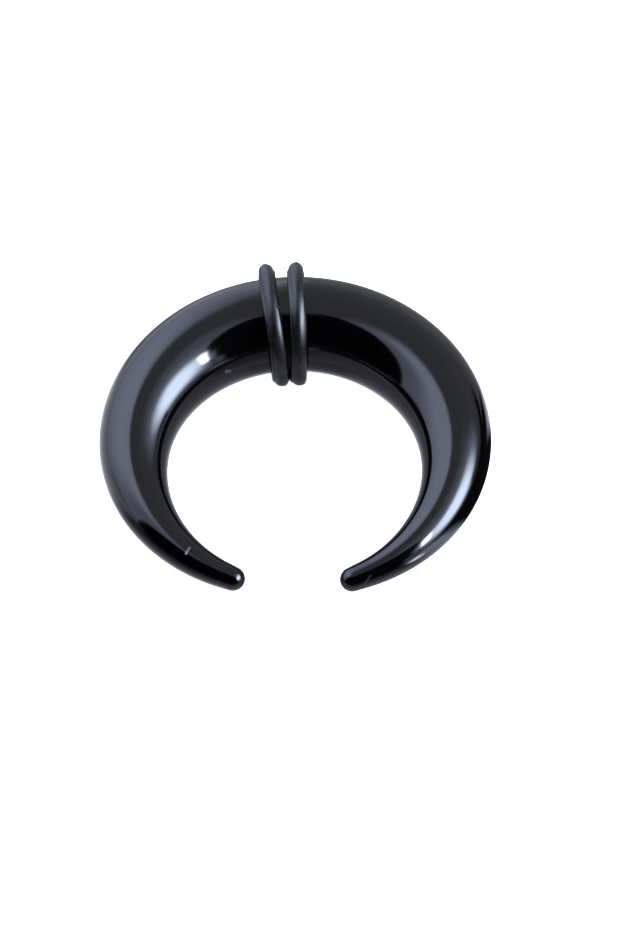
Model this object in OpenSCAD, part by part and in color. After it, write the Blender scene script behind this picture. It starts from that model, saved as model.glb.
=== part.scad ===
// Crescent ear expander: a black acrylic bar, thick in its middle and drawn out to two blunt
// tips, bent round a mandrel into a crescent, with two rubber O-rings that stop the lobe
// from sliding along it. It lies on a table as it would by itself: the two arms and an O-ring
// touch the table, and the thick middle stands up a little on its ring.
//
// The parts are drawn flat first, with the bend's centre at the origin, the thick middle
// towards +Y and the tips towards -Y. The module lay() then tilts and lifts them on to the table.

/* [Crescent] */
// Diameter of the bar in its thick middle, which is a 00 gauge
bar_d = 10; // [8:0.5:12]
// Diameter of the round tips
tip_d = 2.5; // [1.8:0.1:4]
// Radius of the mandrel that the inner edge was bent round
bend_r = 13.1; // [12:0.1:17]
// Angle from the middle to the end of that bend, on each side
bend_angle = 150; // [120:1:152]
// Length of the straight stretch at the end of each arm
straight_l = 1.3; // [0:0.1:4]
// Share of each arm, counted from the middle, where the bar thins fastest
taper_place = 0.652; // [0.5:0.001:0.75]
// Share of each arm that the thinning spreads over
taper_spread = 0.203; // [0.15:0.001:0.3]

/* [O-rings] */
// Diameter of the rubber wire
wire_d = 1.5; // [1:0.05:2]
// Gap between the rubber and the bar
ring_gap = 0.08; // [0.06:0.01:0.15]
// Place of the left ring's centre along X
left_ring_x = -2.5; // [-5:0.1:-2.4]
// Lean of the left ring: its outer side goes to the left
left_ring_lean = 8.7; // [8:0.1:11]
// Turn of the left ring: its upper side goes to the left
left_ring_turn = 2.4; // [0:0.1:3]
// Place of the right ring's centre along X
right_ring_x = 0; // [0:0.1:2]
// Lean of the right ring: its outer side goes to the left
right_ring_lean = 2.9; // [0:0.1:4]
// Turn of the right ring: its upper side goes to the left
right_ring_turn = -0.6; // [-2:0.1:2]

/* [Facets] */
// Sides of the bar's cross-section
bar_sides = 40; // [24:4:48]
// Sections along each arm
arm_sections = 36; // [20:1:44]
// Rings of facets over each round tip
tip_rings = 4; // [3:1:6]

/* [Hidden] */
acrylic_black = [0.05, 0.05, 0.07];
rubber_black = [0.17, 0.17, 0.18];

bar_r = bar_d / 2;
tip_r = tip_d / 2;
wire_r = wire_d / 2;
arc_l = bend_r * bend_angle * PI / 180;
arm_l = arc_l + straight_l;
// The O-rings sit where the bar has its full thickness
ring_r = bar_r + ring_gap + wire_r;
// Step along an arm, as a share of it, that slopes are measured over
small_step = 0.001;

// A place on the bar is u, from -1 at the left tip through 0 in the middle to 1 at the right tip

// How much of the thick middle is left at u: a soft step, made even so that both arms match
function soft_step(u) = 1 / (1 + exp((u - taper_place) / taper_spread));
function fullness(u) = soft_step(u) + soft_step(-u) - 1;

// Radius of the bar at u
function radius_at(u) =
    tip_r + (bar_r - tip_r) * (fullness(u) - fullness(1)) / (fullness(0) - fullness(1));

// Point of the bar's centre line at u: round the mandrel, then straight on
function centre_at(u) =
    let (
        along = abs(u) * arm_l,
        angle = min(along / arc_l, 1) * bend_angle,
        past = max(along - arc_l, 0),
        from_axis = bend_r + radius_at(u),
        side = u < 0 ? -1 : 1
    )
    [side * (from_axis * sin(angle) + past * cos(angle)), from_axis * cos(angle) - past * sin(angle)];

function step_at(u) = centre_at(u + small_step) - centre_at(u - small_step);
function heading_at(u) = step_at(u) / norm(step_at(u));
function slope_at(u) =
    (radius_at(u + small_step) - radius_at(u - small_step)) / norm(step_at(u));

// One circle of points, square to the heading
function circle_points(centre, heading, r) = [
    for (i = [0 : bar_sides - 1])
        let (a = 360 * i / bar_sides, outward = [-heading.y, heading.x] * r * cos(a))
        [centre.x + outward.x, centre.y + outward.y, r * sin(a)]
];

// The bar's skin is what a ball sweeps as it shrinks on its way to the tips. The ball touches
// the skin along a circle, which lies a little ahead of its centre where the bar thins.
function touch_circle(u) =
    let (r = radius_at(u), slope = slope_at(u), heading = heading_at(u))
    circle_points(centre_at(u) - heading * r * slope, heading, r * sqrt(1 - slope * slope));

// One circle over a round tip, at an angle of latitude on the last ball; end is -1 or 1
function tip_circle(end, latitude) =
    let (heading = heading_at(end))
    circle_points(
        centre_at(end) + heading * end * tip_r * sin(latitude), heading, tip_r * cos(latitude));
function tip_latitude(ring) =
    let (first = asin(-slope_at(1)))
    first + (90 - first) * ring / tip_rings;
function tip_pole(end) =
    let (p = centre_at(end) + heading_at(end) * end * tip_r)
    [p.x, p.y, 0];

// All circles from the left tip to the right one
bar_circles = concat(
    [for (ring = [tip_rings - 1 : -1 : 1]) tip_circle(-1, tip_latitude(ring))],
    [for (i = [-arm_sections : arm_sections]) touch_circle(i / arm_sections)],
    [for (ring = [1 : tip_rings - 1]) tip_circle(1, tip_latitude(ring))]
);

// Two triangles for each side between one circle and the next, and a fan round each pole
function band_faces(circles) = [
    for (c = [0 : circles - 2], i = [0 : bar_sides - 1])
        let (
            j = (i + 1) % bar_sides,
            here = c * bar_sides,
            next = here + bar_sides
        )
        each [[here + i, next + i, next + j], [here + i, next + j, here + j]]
];
function fan_faces(pole, start, flip) = [
    for (i = [0 : bar_sides - 1])
        let (j = (i + 1) % bar_sides)
        flip ? [pole, start + j, start + i] : [pole, start + i, start + j]
];

// The axis of a ring, once it leans by one angle and turns by the other
function ring_axis(lean, turn) = [cos(turn) * cos(lean), cos(turn) * sin(lean), sin(turn)];

// A ring's centre lies on the bar's centre line, which is an arc of this radius in the middle
centre_line_r = bend_r + bar_r;
function ring_centre_y(x) = sqrt(centre_line_r * centre_line_r - x * x);

// Lowest points once the crescent is tilted by an angle, with the bend's centre at height 0
function bar_low(tilt) =
    min([for (i = [0 : arm_sections])
        let (u = i / arm_sections) centre_at(u).y * sin(tilt) - radius_at(u)]);
function ring_low(x, lean, turn, tilt) =
    let (
        axis = ring_axis(lean, turn),
        upright = axis.y * sin(tilt) + axis.z * cos(tilt)
    )
    ring_centre_y(x) * sin(tilt) - ring_r * sqrt(1 - upright * upright) - wire_r;
function rings_low(tilt) = min(
    ring_low(left_ring_x, left_ring_lean, left_ring_turn, tilt),
    ring_low(right_ring_x, right_ring_lean, right_ring_turn, tilt));

// The tilt at which ring and arms touch the table together, halved down to between two guesses
function settled_tilt(low, high, halvings) =
    let (middle = (low + high) / 2)
    halvings == 0 ? middle
    : rings_low(middle) < bar_low(middle) ? settled_tilt(middle, high, halvings - 1)
    : settled_tilt(low, middle, halvings - 1);

rest_tilt = settled_tilt(0, 30, 30);
lift = -rings_low(rest_tilt);

// Front and back of the whole, so that it can stand centred on the origin
front_y = min([for (i = [0 : arm_sections])
    let (u = i / arm_sections) centre_at(u).y * cos(rest_tilt) - radius_at(u)]);
back_y = ring_centre_y(right_ring_x) * cos(rest_tilt) + ring_r + wire_r;
shift_y = -(front_y + back_y) / 2;

// From the flat drawing to how it lies on the table
module lay() {
    translate([0, shift_y, lift]) rotate([rest_tilt, 0, 0]) children();
}

module crescent() {
    circles = len(bar_circles);
    left_pole = circles * bar_sides;
    points = concat(
        [for (circle = bar_circles) each circle],
        [tip_pole(-1), tip_pole(1)]
    );
    faces = concat(
        band_faces(circles),
        fan_faces(left_pole, 0, false),
        fan_faces(left_pole + 1, (circles - 1) * bar_sides, true)
    );
    color(acrylic_black) lay() polyhedron(points = points, faces = faces);
}

// A ring of round wire, slipped over the bar at x
module o_ring(x, lean, turn) {
    color(rubber_black) lay()
        translate([x, ring_centre_y(x), 0])
        rotate([0, 0, lean]) rotate([0, 90 - turn, 0])
        rotate_extrude($fn = 96) translate([ring_r, 0]) circle(r = wire_r, $fn = 32);
}

module o_ring_left() {
    o_ring(left_ring_x, left_ring_lean, left_ring_turn);
}

module o_ring_right() {
    o_ring(right_ring_x, right_ring_lean, right_ring_turn);
}

crescent();
o_ring_left();
o_ring_right();
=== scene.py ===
# %% [markdown]
# # A crescent ear expander
#
# The object is a bar of black acrylic, thick in its middle, thinned to two round tips and bent
# hot round a mandrel. Two rubber O-rings sit on the thick middle and stop the lobe from sliding.
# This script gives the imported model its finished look: smooth surfaces, a polish, rubber, and
# the soft studio light that a glossy black thing needs to be seen at all.

# %% The frame
from math import asin, cos, degrees, exp, pi, radians, sin, sqrt

import bpy
from mathutils import Matrix, Vector


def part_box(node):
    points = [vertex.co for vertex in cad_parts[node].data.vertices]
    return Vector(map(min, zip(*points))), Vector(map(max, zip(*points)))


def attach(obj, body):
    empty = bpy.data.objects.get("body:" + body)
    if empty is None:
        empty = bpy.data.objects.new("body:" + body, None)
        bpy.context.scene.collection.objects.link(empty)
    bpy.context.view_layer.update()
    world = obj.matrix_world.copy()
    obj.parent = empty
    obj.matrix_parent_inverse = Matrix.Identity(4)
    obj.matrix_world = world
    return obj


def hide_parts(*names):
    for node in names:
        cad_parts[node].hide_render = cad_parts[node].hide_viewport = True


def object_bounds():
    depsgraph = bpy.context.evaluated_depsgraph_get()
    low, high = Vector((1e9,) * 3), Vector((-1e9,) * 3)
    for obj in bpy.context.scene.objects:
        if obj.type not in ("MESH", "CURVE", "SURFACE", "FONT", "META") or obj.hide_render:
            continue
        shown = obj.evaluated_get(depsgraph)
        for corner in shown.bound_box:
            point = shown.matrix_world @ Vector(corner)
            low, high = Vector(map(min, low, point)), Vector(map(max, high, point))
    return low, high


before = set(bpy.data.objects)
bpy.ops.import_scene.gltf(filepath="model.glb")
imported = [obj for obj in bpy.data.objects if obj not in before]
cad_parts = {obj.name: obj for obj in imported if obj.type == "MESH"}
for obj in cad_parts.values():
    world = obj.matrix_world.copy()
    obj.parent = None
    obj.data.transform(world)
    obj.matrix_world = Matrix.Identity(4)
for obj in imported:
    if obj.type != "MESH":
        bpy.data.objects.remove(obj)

MM = 0.001

cad_low, cad_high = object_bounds()
bpy.ops.object.select_all(action="DESELECT")
print("CAD nodes:", sorted(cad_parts))
print("CAD box in mm:", [round(side / MM, 2) for side in cad_high - cad_low])

# %% [markdown]
# ## The camera
#
# A product photographer stands back with a long lens, so that the two arms keep the same size.
# The camera could be placed by eye, but here its direction is known from how round the crescent
# looks from above: it looks down steeply, from a little to the right. It is placed first,
# because everything else is judged through it.

# %% Camera
IMAGE_TALL = 931
FOCAL_PIXELS = 3800
SENSOR = 36.0
CAMERA_ELEVATION = radians(48.34)
CAMERA_TO_RIGHT = radians(1.56)
CAMERA_ROLL = radians(-0.86)
CAMERA_DISTANCE = 388.1 * MM
CLIP_START = 10 * MM
CLIP_END = 10.0
# What the camera looks at, from the middle of the object's box
AIM = Vector((1.7, -7.3, 0)) * MM


def add_camera():
    data = bpy.data.cameras.new("camera")
    data.sensor_width = SENSOR
    data.lens = FOCAL_PIXELS * SENSOR / IMAGE_TALL
    data.clip_start = CLIP_START
    data.clip_end = CLIP_END
    camera = bpy.data.objects.new("camera", data)
    bpy.context.scene.collection.objects.link(camera)
    target = (cad_low + cad_high) / 2 + AIM
    sideways = Vector((sin(CAMERA_TO_RIGHT), -cos(CAMERA_TO_RIGHT), 0))
    towards = sideways * cos(CAMERA_ELEVATION) + Vector((0, 0, sin(CAMERA_ELEVATION)))
    turn = (-towards).to_track_quat("-Z", "Y").to_matrix().to_4x4()
    roll = Matrix.Rotation(CAMERA_ROLL, 4, "Z")
    camera.matrix_world = Matrix.Translation(target + towards * CAMERA_DISTANCE) @ turn @ roll
    bpy.context.scene.camera = camera
    return camera


camera = add_camera()
print("camera lens in mm:", round(camera.data.lens, 1))
print("camera place in mm:", [round(side / MM, 1) for side in camera.matrix_world.translation])

# %% [markdown]
# ## The shape of the bar
#
# On the real object a rod is turned on a lathe so that it thins towards both ends, and is then
# bent. What the hand feels is the skin that a shrinking ball sweeps on its way along a curve.
# So the shape is written as two short rules, the ball's place and its radius, and the mesh
# follows them. A place along the bar is a number from -1 at the left tip to 1 at the right tip.
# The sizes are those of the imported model, which the last cell of this part compares.

# %% Sizes of the bar
BAR_R = 5.0 * MM
TIP_R = 1.25 * MM
BEND_R = 13.1 * MM
BEND_ANGLE = radians(150)
STRAIGHT = 1.3 * MM
TAPER_PLACE = 0.652
TAPER_SPREAD = 0.203

BEND_ARC = BEND_R * BEND_ANGLE
ARM = BEND_ARC + STRAIGHT
SMALL_STEP = 0.001


def soft_step(place):
    return 1 / (1 + exp((place - TAPER_PLACE) / TAPER_SPREAD))


def fullness(place):
    """How much of the thick middle is left, the same on both arms."""
    return soft_step(place) + soft_step(-place) - 1


def ball_radius(place):
    share = (fullness(place) - fullness(1)) / (fullness(0) - fullness(1))
    return TIP_R + (BAR_R - TIP_R) * share


def ball_centre(place):
    """Round the mandrel, then straight on. The bend's centre is at the origin."""
    along = abs(place) * ARM
    angle = min(along / BEND_ARC, 1) * BEND_ANGLE
    past = max(along - BEND_ARC, 0)
    from_axis = BEND_R + ball_radius(place)
    side = -1 if place < 0 else 1
    across = from_axis * sin(angle) + past * cos(angle)
    return Vector((side * across, from_axis * cos(angle) - past * sin(angle), 0))


def ball_step(place):
    return ball_centre(place + SMALL_STEP) - ball_centre(place - SMALL_STEP)


def heading(place):
    return ball_step(place).normalized()


def slope(place):
    change = ball_radius(place + SMALL_STEP) - ball_radius(place - SMALL_STEP)
    return change / ball_step(place).length


def touch_circle(place):
    """Centre and radius of the circle along which the ball touches the skin."""
    radius, thins = ball_radius(place), slope(place)
    centre = ball_centre(place) - heading(place) * radius * thins
    return centre, radius * sqrt(1 - thins * thins)


print("length of one arm along its inner edge in mm:", round(ARM / MM, 1))
print("radius in mm at five places:", [round(ball_radius(n / 4) / MM, 2) for n in range(5)])

# %% [markdown]
# ## How it lies
#
# The thick middle wears its O-rings, so it can't lie flat: the middle stands on a ring, the two
# arms touch the table, and the whole tilts by some degrees. That tilt could be measured on the
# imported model, but it is quicker to find as the hand would: tilt a little less or more until
# ring and arms touch together.

# %% Tilt on the table
CENTRE_LINE_R = BEND_R + BAR_R
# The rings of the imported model: outer radius, radius of the wire, and for each ring its place
# along X, its lean and its turn
RING_OUTER = 6.58 * MM
WIRE_R = 0.75 * MM
RINGS = {
    "o_ring_left": {"x": -2.5 * MM, "lean": radians(8.7), "turn": radians(2.4)},
    "o_ring_right": {"x": 0.0, "lean": radians(2.9), "turn": radians(-0.6)},
}
ARM_STEPS = 90
ARM_PLACES = [n / ARM_STEPS for n in range(ARM_STEPS + 1)]
STEEPEST_TILT = radians(30)
TILT_HALVINGS = 30


def ring_centre(ring):
    return Vector((ring["x"], sqrt(CENTRE_LINE_R ** 2 - ring["x"] ** 2), 0))


def ring_axis(ring):
    lean, turn = ring["lean"], ring["turn"]
    return Vector((cos(turn) * cos(lean), cos(turn) * sin(lean), sin(turn)))


def ring_low(ring, tilt):
    axis = ring_axis(ring)
    upright = axis.y * sin(tilt) + axis.z * cos(tilt)
    reach = (RING_OUTER - WIRE_R) * sqrt(1 - upright * upright) + WIRE_R
    return ring_centre(ring).y * sin(tilt) - reach


def rings_low(tilt):
    return min(ring_low(ring, tilt) for ring in RINGS.values())


def bar_low(tilt):
    return min(ball_centre(p).y * sin(tilt) - ball_radius(p) for p in ARM_PLACES)


def settled_tilt():
    low, high = 0.0, STEEPEST_TILT
    for _ in range(TILT_HALVINGS):
        middle = (low + high) / 2
        if rings_low(middle) < bar_low(middle):
            low = middle
        else:
            high = middle
    return low


REST_TILT = settled_tilt()
LIFT = -rings_low(REST_TILT)
FRONT = min(ball_centre(p).y * cos(REST_TILT) - ball_radius(p) for p in ARM_PLACES)
BACK = ring_centre(RINGS["o_ring_right"]).y * cos(REST_TILT) + RING_OUTER
LAY = (
    Matrix.Translation((0, -(FRONT + BACK) / 2, LIFT))
    @ Matrix.Rotation(REST_TILT, 4, "X")
)
print("tilt in degrees:", round(degrees(REST_TILT), 3))
print("bend's centre in mm:", [round(side / MM, 3) for side in LAY.translation])

# %% [markdown]
# ## The bar
#
# The mesh is made as a bench jeweller would draw wire: one circle in the thick middle is pushed
# out along each arm, and at every stop it is moved, turned and shrunk to the next circle of the
# rule. A curve with a bevel would be shorter to write, but it can't set where the skin touches
# the ball, and it pinches at round ends. Over each tip the circle shrinks on a quarter circle
# and closes in one point.

# %% Helpers for edit mode
MERGE_DISTANCE = 0.0005 * MM


def start_edit(obj):
    bpy.context.view_layer.objects.active = obj
    obj.select_set(True)
    bpy.ops.object.mode_set(mode="EDIT")
    bpy.ops.mesh.select_mode(type="VERT")


def end_edit(obj):
    bpy.ops.object.mode_set(mode="OBJECT")
    obj.select_set(False)


def select_where(obj, wanted):
    """In edit mode, selects the points whose place passes the test."""
    bpy.ops.mesh.select_all(action="DESELECT")
    bpy.ops.object.mode_set(mode="OBJECT")
    for point in obj.data.vertices:
        point.select = wanted(point.co)
    bpy.ops.object.mode_set(mode="EDIT")


def apply_place(obj, matrix):
    """Moves the object and puts its place into its mesh."""
    obj.matrix_world = matrix @ obj.matrix_world
    obj.select_set(True)
    bpy.context.view_layer.objects.active = obj
    bpy.ops.object.transform_apply(location=True, rotation=True, scale=True)
    obj.select_set(False)


def close_and_smooth(obj):
    """Merges doubles, turns all faces outwards and shades them smooth."""
    start_edit(obj)
    bpy.ops.mesh.select_all(action="SELECT")
    bpy.ops.mesh.remove_doubles(threshold=MERGE_DISTANCE)
    bpy.ops.mesh.normals_make_consistent(inside=False)
    end_edit(obj)
    obj.select_set(True)
    bpy.ops.object.shade_smooth()
    obj.select_set(False)


# %% The bar's mesh
BAR_SIDES = 96
TIP_STEPS = 12
# The first circle's points are this near to x = 0
MIDDLE_REACH = 0.01 * MM


def push_to(state, centre, radius, along):
    """Extrudes the selected circle to a new centre, radius and heading."""
    bpy.ops.mesh.extrude_region_move(
        TRANSFORM_OT_translate={"value": centre - state["centre"]})
    angle = state["along"].xy.angle_signed(along.xy)
    bpy.ops.transform.rotate(value=angle, orient_axis="Z", center_override=centre)
    factor = radius / state["radius"]
    bpy.ops.transform.resize(value=(factor, factor, factor), center_override=centre)
    state.update(centre=centre, radius=radius, along=along)


def push_arm(side):
    """Draws one arm out of the selected middle circle; side is -1 or 1."""
    state = {"centre": touch_circle(0)[0], "radius": BAR_R, "along": heading(0)}
    for step in range(1, ARM_STEPS + 1):
        place = side * step / ARM_STEPS
        centre, radius = touch_circle(place)
        push_to(state, centre, radius, heading(place))
    last_centre, forward = ball_centre(side), heading(side) * side
    first = asin(abs(slope(side)))
    for step in range(1, TIP_STEPS):
        latitude = first + (pi / 2 - first) * step / TIP_STEPS
        centre = last_centre + forward * TIP_R * sin(latitude)
        push_to(state, centre, TIP_R * cos(latitude), heading(side))
    pole = last_centre + forward * TIP_R
    bpy.ops.mesh.extrude_region_move(TRANSFORM_OT_translate={"value": pole - state["centre"]})
    bpy.ops.mesh.merge(type="CENTER")


def make_bar():
    bpy.ops.mesh.primitive_circle_add(
        vertices=BAR_SIDES, radius=BAR_R, fill_type="NOTHING",
        location=(0, CENTRE_LINE_R, 0), rotation=(0, pi / 2, 0))
    bar = bpy.context.object
    bar.name = bar.data.name = "acrylic_crescent"
    apply_place(bar, Matrix.Identity(4))
    for side in (-1, 1):
        start_edit(bar)
        select_where(bar, lambda p: abs(p.x) < MIDDLE_REACH and p.y > 0)
        push_arm(side)
        end_edit(bar)
    close_and_smooth(bar)
    apply_place(bar, LAY)
    return bar


# %% The finished bar
bar = make_bar()
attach(bar, "root")
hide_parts("crescent")


def box_of(obj):
    corners = [obj.matrix_world @ Vector(c) for c in obj.bound_box]
    low = Vector([min(c[n] for c in corners) for n in range(3)])
    high = Vector([max(c[n] for c in corners) for n in range(3)])
    return low, high


for mine, packed in zip(box_of(bar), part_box("crescent")):
    print("bar corner off the packed one in mm:", [round(d / MM, 3) for d in mine - packed])
print("points:", len(bar.data.vertices), "faces:", len(bar.data.polygons))

# %% [markdown]
# ## The O-rings
#
# An O-ring is moulded in two halves. Its wire is round, but drawn out a little to a rim where
# the halves met. It was rolled over the tip and up the taper, so it sits twisted: its rim lies
# well to the right where it faces the camera and a little to the left at the back. It is also
# stretched, so it is pressed flat and wide where it grips the bar.
#
# A torus would be quick, but it has none of that. So the wire's section is drawn once, its rim
# is pulled out softly, and it is pushed round in steps, rolled a little at each one. A
# Shrinkwrap modifier then presses it off the bar.
#
# The left ring also has a burr, a crumb of rubber that the mould left on its side.

# %% The wire's section
WIRE_SIDES = 48
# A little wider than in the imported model, so that it reaches the bar and is pressed flat on it
WIRE_WIDE = 1.6 * MM
# How high the rim stands, and how far from it the wire is pulled along
RIM = 0.06 * MM
RIM_REACH = 0.5 * MM
# The rim is pulled out at the one point that is this near to the wire's outer side
RIM_NEAR = 0.001 * MM
WIRE_OUTER = RING_OUTER - RIM
WIRE_CENTRE = Vector((WIRE_OUTER - WIRE_WIDE / 2, 0, 0))
# The base that grips the bar: where it starts, how much it is widened, and how softly
BASE_FROM = 0.35 * MM
BASE_WIDER = 1.30
BASE_REACH = 0.4 * MM


def draw_section(name):
    """The section of the wire, with its rim and its wider base, standing across X."""
    bpy.ops.mesh.primitive_circle_add(
        vertices=WIRE_SIDES, radius=WIRE_WIDE / 2, fill_type="NOTHING",
        location=WIRE_CENTRE, rotation=(pi / 2, 0, 0))
    obj = bpy.context.object
    obj.name = obj.data.name = name
    apply_place(obj, Matrix.Identity(4))
    start_edit(obj)
    select_where(obj, lambda p: p.x > WIRE_OUTER - RIM_NEAR)
    bpy.ops.transform.translate(
        value=(RIM, 0, 0), use_proportional_edit=True,
        proportional_edit_falloff="SHARP", proportional_size=RIM_REACH)
    select_where(obj, lambda p: p.x < WIRE_CENTRE.x - BASE_FROM)
    bpy.ops.transform.resize(
        value=(1, 1, BASE_WIDER), center_override=WIRE_CENTRE, use_proportional_edit=True,
        proportional_edit_falloff="SMOOTH", proportional_size=BASE_REACH)
    end_edit(obj)
    return obj


# %% The section's way round
RING_STEPS = 144
# How far the rim is rolled to the right: the mean of each ring, how much it varies on the way
# round, and where it is most. Angle 0 is the ring's bottom and 90 degrees its outer side
ROLL_MEAN = {"o_ring_left": radians(8), "o_ring_right": radians(24)}
ROLL_VARIES = radians(38)
ROLL_MOST_AT = radians(240)


def roll_at(angle, mean):
    return mean + ROLL_VARIES * cos(angle - ROLL_MOST_AT)


def roll_section(angle):
    """Rolls what is selected about the wire's centre, where the section stands across X."""
    bpy.ops.transform.rotate(value=angle, orient_axis="Y", center_override=WIRE_CENTRE)


def go_round(angle):
    """Turns what is selected round the ring's axis."""
    bpy.ops.transform.rotate(value=-angle, orient_axis="Z", center_override=(0, 0, 0))


def push_round(obj, mean):
    """Extrudes the section to a ring. To be rolled, it goes back to where it was drawn."""
    start_edit(obj)
    bpy.ops.mesh.select_all(action="SELECT")
    roll_section(roll_at(0, mean))
    for step in range(RING_STEPS):
        angle, next_angle = (2 * pi * n / RING_STEPS for n in (step, step + 1))
        bpy.ops.mesh.extrude_region_move()
        go_round(-angle)
        roll_section(roll_at(next_angle, mean) - roll_at(angle, mean))
        go_round(next_angle)
    end_edit(obj)


def make_ring(node, ring):
    obj = draw_section("rubber_" + node)
    push_round(obj, ROLL_MEAN[node])
    close_and_smooth(obj)
    upright = Matrix.Rotation(pi / 2 - ring["turn"], 4, "Y")
    leaning = Matrix.Rotation(ring["lean"], 4, "Z")
    apply_place(obj, LAY @ Matrix.Translation(ring_centre(ring)) @ leaning @ upright)
    return obj


# %% The grip
GRIP_GAP = 0.02 * MM


def press_off_bar(obj):
    """Moves the points that are inside the bar out to just off its skin."""
    wrap = obj.modifiers.new("grip", "SHRINKWRAP")
    wrap.target = bar
    wrap.wrap_method = "NEAREST_SURFACEPOINT"
    wrap.wrap_mode = "OUTSIDE"
    wrap.offset = GRIP_GAP
    bpy.context.view_layer.objects.active = obj
    bpy.ops.object.modifier_apply(modifier="grip")


# %% The burr
BURR_PLACE = Vector((-1.95, 9.85, 12.32)) * MM
BURR_WAY = Vector((0.72, -0.55, -0.42))
BURR_FACES = 3
# Each push: how far, and how much of the width is left after it
BURR_PUSHES = [(0.25 * MM, 0.6), (0.30 * MM, 0.2)]


def raise_burr(obj):
    """Pulls a small spike out of the faces nearest to a place."""
    start_edit(obj)
    bpy.ops.mesh.select_mode(type="FACE")
    bpy.ops.mesh.select_all(action="DESELECT")
    bpy.ops.object.mode_set(mode="OBJECT")
    by_nearness = sorted(obj.data.polygons, key=lambda face: (face.center - BURR_PLACE).length)
    for face in by_nearness[:BURR_FACES]:
        face.select = True
    centre = by_nearness[0].center.copy()
    bpy.ops.object.mode_set(mode="EDIT")
    for length, width in BURR_PUSHES:
        push = BURR_WAY.normalized() * length
        centre += push
        bpy.ops.mesh.extrude_region_move(TRANSFORM_OT_translate={"value": push})
        bpy.ops.transform.resize(value=(width, width, width), center_override=centre)
    bpy.ops.mesh.select_mode(type="VERT")
    end_edit(obj)
    return centre


# %% Both rings
rings = []
for node, ring in RINGS.items():
    obj = make_ring(node, ring)
    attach(obj, "root")
    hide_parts(node)
    rings.append(obj)
    press_off_bar(obj)
    if node == "o_ring_left":
        tip = raise_burr(obj)
        print("tip of the burr in mm:", [round(side / MM, 2) for side in tip])
    for mine, packed in zip(box_of(obj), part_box(node)):
        print(node, "corner off in mm:", [round(d / MM, 3) for d in mine - packed])
    print(node, "points:", len(obj.data.vertices))

# %% [markdown]
# ## Sums for shaders
#
# A finish is a network of small nodes, and a network drawn by script is hard to read. So one
# short class stands for a number on its way through the network: adding or multiplying it adds
# the node that does so. A second class adds every other kind of node with one method, and has
# short names for the few kinds that come back often.

# %% Shader maths
class Value:
    """What a node gives: a number, a colour or a vector. Sums on it add Math nodes."""

    def __init__(self, graph, socket):
        self.graph = graph
        self.socket = socket

    def other(self, name):
        """Another output of the same node."""
        return Value(self.graph, self.socket.node.outputs[name])

    def __add__(self, number):
        return self.graph.maths("ADD", self, number)

    def __radd__(self, number):
        return self.graph.maths("ADD", number, self)

    def __sub__(self, number):
        return self.graph.maths("SUBTRACT", self, number)

    def __rsub__(self, number):
        return self.graph.maths("SUBTRACT", number, self)

    def __mul__(self, number):
        return self.graph.maths("MULTIPLY", self, number)

    def __rmul__(self, number):
        return self.graph.maths("MULTIPLY", number, self)


class Graph:
    """The nodes of one material, or of the sky."""

    def __init__(self, tree):
        self.tree = tree
        tree.nodes.clear()

    def node(self, kind, settings=None, inputs=None, output=0):
        """Adds a node: its settings first, then the values or links of its sockets."""
        made = self.tree.nodes.new(kind)
        for name, setting in (settings or {}).items():
            setattr(made, name, setting)
        for key, value in (inputs or {}).items():
            if isinstance(value, Value):
                self.tree.links.new(value.socket, made.inputs[key])
            else:
                made.inputs[key].default_value = value
        return Value(self, made.outputs[output]) if made.outputs else None

    def maths(self, operation, *numbers):
        return self.node("ShaderNodeMath", {"operation": operation}, dict(enumerate(numbers)))

    def vectors(self, operation, first, second, output="Vector"):
        return self.node(
            "ShaderNodeVectorMath", {"operation": operation}, {0: first, 1: second}, output)

    def dot(self, first, second):
        return self.vectors("DOT_PRODUCT", first, second, "Value")

    def step(self, number, start, end):
        """A soft step from 0 at start to 1 at end, or back where end is the lower one."""
        return self.node(
            "ShaderNodeMapRange", {"interpolation_type": "SMOOTHSTEP"},
            {"Value": number, "From Min": start, "From Max": end})

    def fit(self, number, low, high):
        """Carries a number between 0 and 1 over to one between low and high."""
        return self.node(
            "ShaderNodeMapRange", None, {"Value": number, "To Min": low, "To Max": high})

    def mix(self, share, first, second):
        """Goes from one colour to another."""
        mixer = self.node("ShaderNodeMix", {"data_type": "RGBA"}, {"Factor": share}).socket.node
        ends = [socket for socket in mixer.inputs if socket.type == "RGBA"]
        for socket, colour in zip(ends, (first, second)):
            if isinstance(colour, Value):
                self.tree.links.new(colour.socket, socket)
            else:
                socket.default_value = (*colour, 1)
        return Value(self, [socket for socket in mixer.outputs if socket.type == "RGBA"][0])

    def finish(self, inputs):
        """Gives a material its shader, with these values and links."""
        shader = self.node("ShaderNodeBsdfPrincipled", None, inputs)
        self.node("ShaderNodeOutputMaterial", None, {"Surface": shader})


# %% [markdown]
# ## The studio's light
#
# A glossy black thing has no colour of its own to show: what the eye sees on it is the room. A
# photographer hangs white sheets and black cards round it, and each gives one band of light or
# dark on the bar. Real cards could stand in the scene, but every one of them would have to be
# kept out of the other views. So the room is painted on the sky by direction: each panel is a
# patch between two turns and two heights, a round one, or one with a straight edge, and it
# covers those before it.
#
# A turn of 0 is in front of the bar, 90 is at its right and 180 behind it. The room leans a
# little towards the camera, as it looks from a bar whose thick middle is propped up.

# %% Panels of the room
ROOM_LEAN = radians(13)
IN_DEGREES = 180 / pi
BACKGROUND = (1.0, 1.0, 1.0)
CEILING = (0.54, 0.56, 0.63)
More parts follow.
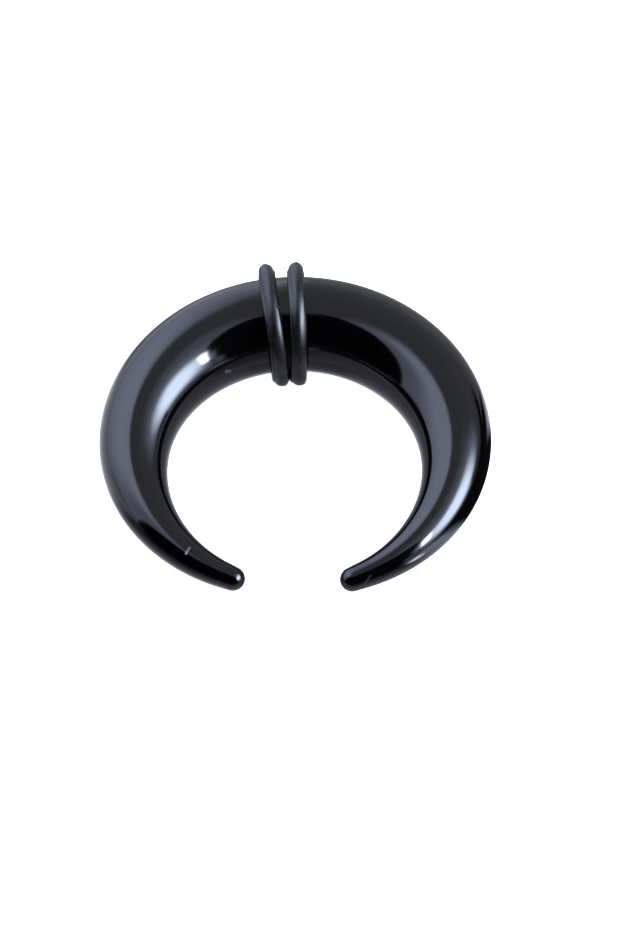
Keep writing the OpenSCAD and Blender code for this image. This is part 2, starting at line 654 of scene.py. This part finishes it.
# A disc is turn, height, radius and softness. A side is the straight edge of a card: it covers
# what lies towards that turn and height, from and to so many degrees past the edge, with two
# softnesses
PANELS = [
    {"name": "low wall, left", "colour": (1.1, 1.15, 1.4),
     "turn": (-180, -76), "turn_soft": (2, 2), "height": (-95, -3), "height_soft": (2, 10)},
    {"name": "white sheet", "colour": (1.30, 1.38, 1.9), "side": (-90, -12, 0, 95, 9, 2),
     "turn": (-178, -75), "turn_soft": (8, 5), "height": (-3, 95), "height_soft": (10, 2)},
    {"name": "lit middle of the sheet", "colour": (2.9, 3.25, 4.4), "side": (-90, -15, 0, 95, 9, 2),
     "turn": (-160, -96), "turn_soft": (24, 30), "height": (16, 72), "height_soft": (56, 14)},
    {"name": "faint light over the window", "colour": (1.15, 1.25, 1.6),
     "disc": (86, 56, 24, 16)},
    {"name": "shade at the sheet's foot", "colour": (0.72, 0.78, 1.02),
     "turn": (-98, -70), "turn_soft": (16, 4), "height": (-12, 8), "height_soft": (2, 10)},
    {"name": "glow round the window", "colour": (2.3, 2.5, 3.3), "disc": (84, 32, 30, 16),
     "height": (8.5, 95), "height_soft": (9, 4)},
    {"name": "window", "colour": (16.5, 19.5, 24.5), "disc": (84.5, 31.5, 17.8, 20),
     "height": (12, 51), "height_soft": (14, 14)},
    {"name": "window's sill, right", "colour": (0.45, 0.46, 0.52),
     "turn": (95.5, 150), "turn_soft": (4, 12), "height": (-95, 15), "height_soft": (4, 6)},
    {"name": "lamp", "colour": (40, 42, 46), "side": (143, -9.2, -2, 4.8, 1, 2.5),
     "turn": (40, 100), "turn_soft": (5, 5), "height": (28, 48), "height_soft": (8, 8)},
    {"name": "black card in front", "colour": (0.004, 0.004, 0.006),
     "side": (-37, 9.2, 0, 95, 2.5, 2),
     "turn": (-75.4, 68), "turn_soft": (3, 8), "height": (-4, 84), "height_soft": (3, 10)},
    {"name": "lamp's light on the card", "colour": (1.7, 2.0, 3.2),
     "side": (-37, 9.2, 0.8, 4.0, 1.6, 4.0),
     "turn": (44, 70), "turn_soft": (4, 4), "height": (24, 42), "height_soft": (8, 8)},
    {"name": "lamp's light on the card's foot", "colour": (0.85, 0.90, 1.25),
     "side": (-37, 9.2, 0, 9.0, 1.6, 5.0),
     "turn": (47, 70), "turn_soft": (5, 4), "height": (11, 24), "height_soft": (6, 4)},
    {"name": "below the card", "colour": (0.06, 0.06, 0.07),
     "turn": (-77, 50), "turn_soft": (4, 4), "height": (-95, -4), "height_soft": (2, 3)},
    {"name": "dark wall, right", "colour": (0.010, 0.012, 0.012),
     "turn": (70, 134), "turn_soft": (8, 12), "height": (-95, 4), "height_soft": (4, 6)},
    {"name": "strip of light, right", "colour": (1.6, 1.8, 2.3),
     "turn": (50, 70), "turn_soft": (3, 12), "height": (-95, 3), "height_soft": (3, 3)},
]
print("panels, each over those before it:", "; ".join(panel["name"] for panel in PANELS))

# %% The sky
def band(graph, number, limits, softness):
    """1 between two limits and 0 past them, half way down a soft step at each."""
    low, high = limits
    soft_low, soft_high = softness
    rise = graph.step(number, low - soft_low / 2, low + soft_low / 2)
    fall = graph.step(number, high + soft_high / 2, high - soft_high / 2)
    return rise * fall


def turn_band(graph, turn, limits, softness):
    """The same for a turn in degrees, which comes round again."""
    low, high = limits
    from_middle = graph.maths("WRAP", turn - (low + high) / 2, 180, -180)
    half = (high - low) / 2
    return band(graph, from_middle, (-half, half), softness)


def room_direction(turn, height):
    """A direction in the leaning room, from its turn and height in degrees."""
    turn, height = radians(turn), radians(height)
    level = Vector((sin(turn), -cos(turn), 0)) * cos(height)
    return Matrix.Rotation(ROOM_LEAN, 3, "X") @ (level + Vector((0, 0, sin(height))))


def panel_share(sky, panel, direction, turn, height):
    """How far a panel covers what lies in a direction, from 0 to 1."""
    share = 1
    if "turn" in panel:
        share = share * turn_band(sky, turn, panel["turn"], panel["turn_soft"])
    if "height" in panel:
        share = share * band(sky, height, panel["height"], panel["height_soft"])
    if "side" in panel:
        side_turn, side_height, nearest, farthest, soft_near, soft_far = panel["side"]
        near = sky.dot(direction, room_direction(side_turn, side_height))
        past_edge = sky.maths("ARCSINE", near) * IN_DEGREES
        share = share * band(sky, past_edge, (nearest, farthest), (soft_near, soft_far))
    if "disc" in panel:
        disc_turn, disc_height, radius, soft = panel["disc"]
        near = sky.dot(direction, room_direction(disc_turn, disc_height))
        away = sky.maths("ARCCOSINE", near) * IN_DEGREES
        share = share * sky.step(away, radius + soft / 2, radius - soft / 2)
    return share


def make_sky():
    world = bpy.data.worlds.new("studio")
    bpy.context.scene.world = world
    world.use_nodes = True
    sky = Graph(world.node_tree)
    direction = sky.node("ShaderNodeTexCoord", output="Generated")
    to_right = sky.dot(direction, room_direction(90, 0))
    to_front = sky.dot(direction, room_direction(0, 0))
    upward = sky.dot(direction, room_direction(0, 90))
    turn = sky.maths("ARCTAN2", to_right, to_front) * IN_DEGREES
    height = sky.maths("ARCSINE", upward) * IN_DEGREES
    colour = CEILING
    for panel in PANELS:
        share = panel_share(sky, panel, direction, turn, height)
        colour = sky.mix(share, colour, panel["colour"])
    # The camera itself sees plain white past the edge of the floor
    to_camera = sky.node("ShaderNodeLightPath", output="Is Camera Ray")
    colour = sky.mix(to_camera, colour, BACKGROUND)
    light = sky.node("ShaderNodeBackground", None, {"Color": colour, "Strength": 1.0})
    sky.node("ShaderNodeOutputWorld", None, {"Surface": light})
    return world


studio = make_sky()
print("panels on the sky:", len(PANELS), "nodes:", len(studio.node_tree.nodes))

# %% [markdown]
# ## The table
#
# The bar lies on a white light table, which glows from below, so that there is next to no
# shadow. The bar's polish mirrors the table as well as the room, and close to the bar it is
# where the table lies in the shade of the black card, or catches light from the window, that
# draws the bands on its lower half. A lamp and a card for each would take hours to set. So this
# light and shade is painted on the table by place too, as turn and distance round the middle,
# and only for rays that come from a mirroring surface: a painted reflection. The camera sees the
# plain glowing table, with painted shade in the narrow slot between the rings' feet.

# %% Patches of the table
# The table's painted light and shade as the polish sees it, in degrees and millimetres. FAR is past
# its edge
FAR = 9000
TABLE_PAINTED_REFLECTION = (1.1, 1.15, 1.38)
PATCHES = [
    {"name": "front", "colour": (0.36, 0.36, 0.42),
     "turn": (-70, 45), "turn_soft": (20, 10), "distance": (22, FAR), "distance_soft": (8, 1)},
    {"name": "far front", "colour": (0.04, 0.04, 0.05),
     "turn": (-68, 45), "turn_soft": (14, 10), "distance": (32, FAR), "distance_soft": (26, 1)},
    {"name": "behind", "colour": (0.38, 0.39, 0.44),
     "turn": (116, 190), "turn_soft": (8, 24), "distance": (26, FAR), "distance_soft": (10, 1)},
    {"name": "behind, left", "colour": (0.34, 0.35, 0.40),
     "turn": (-180, -126), "turn_soft": (16, 16), "distance": (19, 60), "distance_soft": (6, 45)},
    {"name": "between the arms", "colour": (0.42, 0.43, 0.50),
     "distance": (-1, 17), "distance_soft": (1, 5)},
    {"name": "light at the arms' feet", "colour": (0.72, 0.76, 0.92),
     "turn": (50, 310), "turn_soft": (10, 10), "distance": (9.5, 14), "distance_soft": (5, 1)},
    # Painted shade in the reflection, where the arms stand on the table
    {"name": "foot of the arms", "colour": (0.22, 0.23, 0.26),
     "distance": (13.5, 19), "distance_soft": (3, 3)},
    {"name": "dark right", "colour": (0.012, 0.012, 0.014),
     "turn": (60, 102), "turn_soft": (8, 10), "distance": (20, FAR), "distance_soft": (3, 1)},
    {"name": "dark far right", "colour": (0.012, 0.012, 0.014),
     "turn": (70, 122), "turn_soft": (8, 8), "distance": (34, FAR), "distance_soft": (10, 1)},
    {"name": "bright front right", "colour": (2.3, 2.6, 3.2),
     "turn": (42, 56), "turn_soft": (10, 4), "distance": (24, 60), "distance_soft": (5, 50)},
    {"name": "lamp's spot, front right", "colour": (11, 12, 14),
     "turn": (40, 44.8), "turn_soft": (4, 3.5), "distance": (25, 31), "distance_soft": (3, 4)},
    {"name": "shade before the arch", "colour": (0.24, 0.25, 0.29),
     "turn": (-18, 62), "turn_soft": (16, 20), "distance": (2, 20), "distance_soft": (3, 4)},
    {"name": "shade behind the arch", "colour": (0.26, 0.27, 0.31),
     "turn": (150, 210), "turn_soft": (20, 20), "distance": (3, 9), "distance_soft": (3, 3)},
    # Painted shade in the reflection, where the rings' feet stand close together
    {"name": "between the rings' feet", "colour": (0.01, 0.01, 0.012),
     "turn": (177, 192), "turn_soft": (4, 4), "distance": (9.5, 15), "distance_soft": (3, 3)},
]
print("patches, each over those before it:", "; ".join(patch["name"] for patch in PATCHES))

# %% Floor
FLOOR_SIDE = 4.0
FLOOR_COLOUR = (0.80, 0.80, 0.80)
FLOOR_ROUGHNESS = 0.9
# A faint grain: its scale, and how bright its darker parts are
GRAIN_SCALE = 40.0
GRAIN_DARKER = 0.97
# Painted shade: in the narrow slot between the rings' feet the glow goes out and the table turns
# black
FLOOR_GLOW = 0.97
SHADED_SLOT_CENTRE = Vector((-0.9, 12.6, 0)) * MM
SHADED_SLOT_REACH = (1.65 * MM, 2.2 * MM)
NO_LIGHT = (0.0, 0.0, 0.0)


def new_material(name):
    material = bpy.data.materials.new(name)
    material.use_nodes = True
    return material, Graph(material.node_tree)


def painted_table_reflection(graph, place):
    """The table's painted light and shade by place, as the polish sees it."""
    axes = graph.node("ShaderNodeSeparateXYZ", None, {0: place})
    across, along = axes.other("X"), axes.other("Y")
    turn = graph.maths("ARCTAN2", across, 0 - along) * IN_DEGREES
    distance = graph.vectors("LENGTH", place, (0, 0, 0), "Value") * (1 / MM)
    colour = TABLE_PAINTED_REFLECTION
    for patch in PATCHES:
        share = band(graph, distance, patch["distance"], patch["distance_soft"])
        if "turn" in patch:
            share = share * turn_band(graph, turn, patch["turn"], patch["turn_soft"])
        colour = graph.mix(share, colour, patch["colour"])
    return colour


def make_floor():
    bpy.ops.mesh.primitive_plane_add(size=FLOOR_SIDE, location=(0, 0, 0))
    floor = bpy.context.object
    floor.name = floor.data.name = "floor"
    floor.select_set(False)
    material, table = new_material("white_table")
    place = table.node("ShaderNodeTexCoord", output="Object")
    grain = table.node("ShaderNodeTexNoise", None, {"Vector": place, "Scale": GRAIN_SCALE})
    mirrored = table.node("ShaderNodeLightPath", output="Is Glossy Ray")
    darker = tuple(GRAIN_DARKER * side for side in FLOOR_COLOUR)
    white = table.mix(grain, darker, FLOOR_COLOUR)
    from_shaded_slot = table.vectors("DISTANCE", place, SHADED_SLOT_CENTRE, "Value")
    out_of_painted_shade = table.step(from_shaded_slot, *SHADED_SLOT_REACH)
    in_painted_shade = table.step(from_shaded_slot, *SHADED_SLOT_REACH[::-1])
    glow = table.mix(out_of_painted_shade, NO_LIGHT, (FLOOR_GLOW,) * 3)
    # Painted shade in the slot: the base colour goes black there and the glow fades out
    table.finish({
        "Base Color": table.mix(table.maths("MAXIMUM", mirrored, in_painted_shade), white, NO_LIGHT),
        "Roughness": FLOOR_ROUGHNESS,
        "Specular IOR Level": 0.0,
        "Emission Color": table.mix(mirrored, glow, painted_table_reflection(table, place)),
        "Emission Strength": 1.0,
    })
    floor.data.materials.append(material)
    return floor


floor = make_floor()
print("floor side in mm:", [round(side / MM) for side in floor.dimensions.xy])

# %% [markdown]
# ## The acrylic
#
# The bar is solid black acrylic, tumbled to a polish. Black acrylic gives back almost nothing
# but what it mirrors, so its base colour is nearly nothing, and all its life is in the gloss:
# a bend leaves the skin a little wavy, and tumbling leaves a faint haze. Each is a bump
# or a change of roughness, worked out from the place on the bar, so it is the same in any view.
#
# It has also been handled. Each mark is a short pale line between two places, and the distance
# from that line says how much of it shows. A painted image could hold the marks too, but three
# lines need none. In the narrow slot between the rings, where no cloth reaches, the rubber has
# rubbed the polish dull along one such line.

# %% Helpers for finishes
PER_MM = (1 / MM, 1 / MM, 1 / MM)


def place_in_mm(graph):
    """The place on the object, in millimetres."""
    coordinates = graph.node("ShaderNodeTexCoord", output="Object")
    return graph.vectors("MULTIPLY", coordinates, PER_MM)


def noise(graph, place, size, detail):
    """Cloudy patches about size millimetres across, from 0 to 1."""
    return graph.node(
        "ShaderNodeTexNoise", None,
        {"Vector": place, "Scale": 1 / size, "Detail": detail}, "Fac")


def bump(graph, height, highest, under=None):
    """A skin that rises with a height from 0 to 1, over another such skin."""
    inputs = {"Height": height, "Strength": 1.0, "Distance": highest}
    if under:
        inputs["Normal"] = under
    return graph.node("ShaderNodeBump", None, inputs)


# %% Marks of use
# Where each mark starts and ends in millimetres, its half width, and how strong each end is
MARKS = [
    {"name": "scratch, left arm", "start": (-10.78, -16.34, 3.25), "end": (-10.43, -15.76, 3.49),
     "half_width": 0.25, "strength": (0.24, 0.07)},
    {"name": "scratch, right tip", "start": (7.90, -18.36, 2.35), "end": (7.38, -18.85, 1.75),
     "half_width": 0.22, "strength": (0.018, 0.014)},
    {"name": "nick under the arch", "start": (-7.25, 5.63, 6.78), "end": (-6.95, 5.77, 6.64),
     "half_width": 0.45, "strength": (0.038, 0.028)},
]
RUBBED = {
    "start": (-0.72, 7.8, 8.2), "end": (-0.80, 8.4, 4.0),
    "half_width": 1.6, "strength": (1, 1),
}
RUBBED_ROUGHNESS = 0.6


def mark_on(graph, place, mark):
    """How strongly a mark shows at a place."""
    start, end = Vector(mark["start"]), Vector(mark["end"])
    line = end - start
    from_start = graph.vectors("SUBTRACT", place, start)
    share = graph.dot(from_start, line / line.length_squared)
    along = graph.maths("MINIMUM", graph.maths("MAXIMUM", share, 0), 1)
    nearest = graph.vectors("MULTIPLY", along, line)
    away = graph.vectors("DISTANCE", from_start, nearest, "Value")
    nearness = graph.step(away, mark["half_width"], 0)
    return nearness * nearness * graph.fit(along, *mark["strength"])


print("marks:", "; ".join(mark["name"] for mark in MARKS))

# %% Acrylic
ACRYLIC_IOR = 1.49
# Each noise is a size in millimetres and a detail. The haze goes between two blacks and between
# two roughnesses
HAZE = (3.0, 4.0)
HAZE_BLACKS = ((0.0002, 0.0002, 0.0003), (0.0006, 0.0006, 0.0008))
HAZE_ROUGHNESS = (0.05, 0.10)
WAVES = (7.0, 1.0)
WAVES_HEIGHT = 0.012 * MM
TUMBLING = (0.25, 2.0)
TUMBLING_HEIGHT = 0.0003 * MM
MARK_COLOUR = (0.95, 0.97, 1.0)


def make_acrylic():
    material, graph = new_material("black_acrylic")
    place = place_in_mm(graph)
    haze = noise(graph, place, *HAZE)
    wavy = bump(graph, noise(graph, place, *WAVES), WAVES_HEIGHT)
    skin = bump(graph, noise(graph, place, *TUMBLING), TUMBLING_HEIGHT, wavy)
    marks = sum(mark_on(graph, place, mark) for mark in MARKS)
    black = graph.mix(haze, *HAZE_BLACKS)
    rubbed = mark_on(graph, place, RUBBED) * RUBBED_ROUGHNESS
    graph.finish({
        "Base Color": graph.mix(marks, black, MARK_COLOUR),
        "Roughness": graph.fit(haze, *HAZE_ROUGHNESS) + rubbed,
        "IOR": ACRYLIC_IOR,
        "Normal": skin,
    })
    return material


bar.data.materials.append(make_acrylic())
print("finish of the bar:", bar.data.materials[0].name)

# %% [markdown]
# ## The rubber
#
# The O-rings are black nitrile rubber: darker than slate, with a satin skin that spreads each
# reflection into a soft streak, the fine grain of the mould, and a pale bloom in patches, which
# wax makes as it creeps out of rubber.

# %% Rubber
RUBBER_IOR = 1.47
RUBBER_BLACK = (0.0015, 0.0015, 0.0018)
BLOOM_COLOUR = (0.010, 0.011, 0.012)
# Each noise is a size in millimetres and a detail. The bloom shows where its noise is high
BLOOM = (0.8, 4.0)
BLOOM_RISES = (0.5, 0.75)
SATIN = (1.2, 3.0)
SATIN_ROUGHNESS = (0.31, 0.39)
MOULD_GRAIN = (0.09, 2.0)
MOULD_GRAIN_HEIGHT = 0.002 * MM


def make_rubber():
    material, graph = new_material("black_rubber")
    place = place_in_mm(graph)
    satin = noise(graph, place, *SATIN)
    bloom = graph.step(noise(graph, place, *BLOOM), *BLOOM_RISES)
    graph.finish({
        "Base Color": graph.mix(bloom, RUBBER_BLACK, BLOOM_COLOUR),
        "Roughness": graph.fit(satin, *SATIN_ROUGHNESS),
        "IOR": RUBBER_IOR,
        "Normal": bump(graph, noise(graph, place, *MOULD_GRAIN), MOULD_GRAIN_HEIGHT),
    })
    return material


rubber = make_rubber()
for obj in rings:
    obj.data.materials.append(rubber)
print("finish of the rings:", rubber.name)

# %% [markdown]
# ## Seeing it
#
# The photograph is bright and contrasty, with pure white round the object. The plain view
# transform keeps black black and white white.

# %% View
view = bpy.context.scene.view_settings
view.view_transform = "Standard"
view.look = "None"
print("view transform:", view.view_transform)
